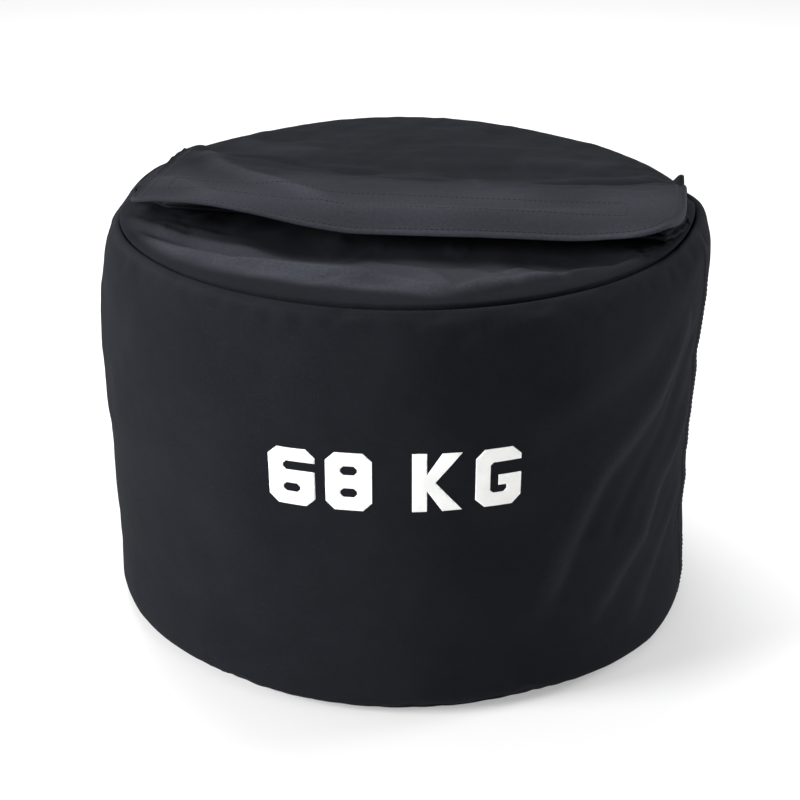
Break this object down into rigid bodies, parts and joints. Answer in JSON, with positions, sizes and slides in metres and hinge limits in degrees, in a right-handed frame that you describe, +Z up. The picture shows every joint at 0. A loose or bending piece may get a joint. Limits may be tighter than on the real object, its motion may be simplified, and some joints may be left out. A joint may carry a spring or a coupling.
{
  "type": "strongman sandbag",
  "caption": "Round drum-shaped training sandbag of heavy nylon, filled with sand, with a hook-and-loop mouth across its top under a hinged cover flap.",
  "frame": {"origin": "middle of the base, on the surface the bag stands on", "axes": "+Z up; the print faces -Y; the mouth, its lips and the flap's seam run along X"},
  "size_m": [0.436, 0.436, 0.3158],
  "materials": {
    "shell_nylon": "matte",
    "seam_binding": "matte",
    "loop_tape": "matte",
    "hook_tape": "satin",
    "flap_lining": "matte",
    "print_ink": "matte",
    "liner_film": "satin",
    "tie_nylon": "satin",
    "sand": "matte"
  },
  "bodies": {
    "bag": {"side_panel": "shell_nylon", "side_seam_strip": "seam_binding", "base_panel": "shell_nylon", "base_seam_binding": "seam_binding", "top_front_panel": "shell_nylon", "top_middle_panel": "shell_nylon", "top_back_panel": "shell_nylon", "top_seam_binding": "seam_binding", "weight_print": "print_ink", "liner_bag": "liner_film", "liner_tie": "tie_nylon", "sand_fill": "sand"},
    "cover_flap": {"flap_outer": "shell_nylon", "flap_lining": "flap_lining", "flap_hook_tape": "hook_tape"},
    "back_lip": {"mouth_back_lip": "shell_nylon", "mouth_hook_tape": "hook_tape", "cover_loop_tape": "loop_tape"},
    "front_lip": {"mouth_front_lip": "shell_nylon", "mouth_loop_tape": "loop_tape"}
  },
  "joints": [
    {"name": "flap_open", "type": "hinge", "parent": "bag", "child": "cover_flap", "pos_m": [0, 0.02, 0.3048], "axis": [-1, 0, 0], "range_deg": [0, 160]},
    {"name": "back_lip_open", "type": "hinge", "parent": "bag", "child": "back_lip", "pos_m": [0, -0.026, 0.305], "axis": [-1, 0, 0], "range_deg": [0, 112]},
    {"name": "front_lip_open", "type": "hinge", "parent": "bag", "child": "front_lip", "pos_m": [0, -0.031, 0.3024], "axis": [-1, 0, 0], "range_deg": [0, 48]}
  ],
  "couplings": [
    {"joint": "back_lip_open", "follows": "flap_open", "ratio": 0.7},
    {"joint": "front_lip_open", "follows": "flap_open", "ratio": 0.3}
  ]
}
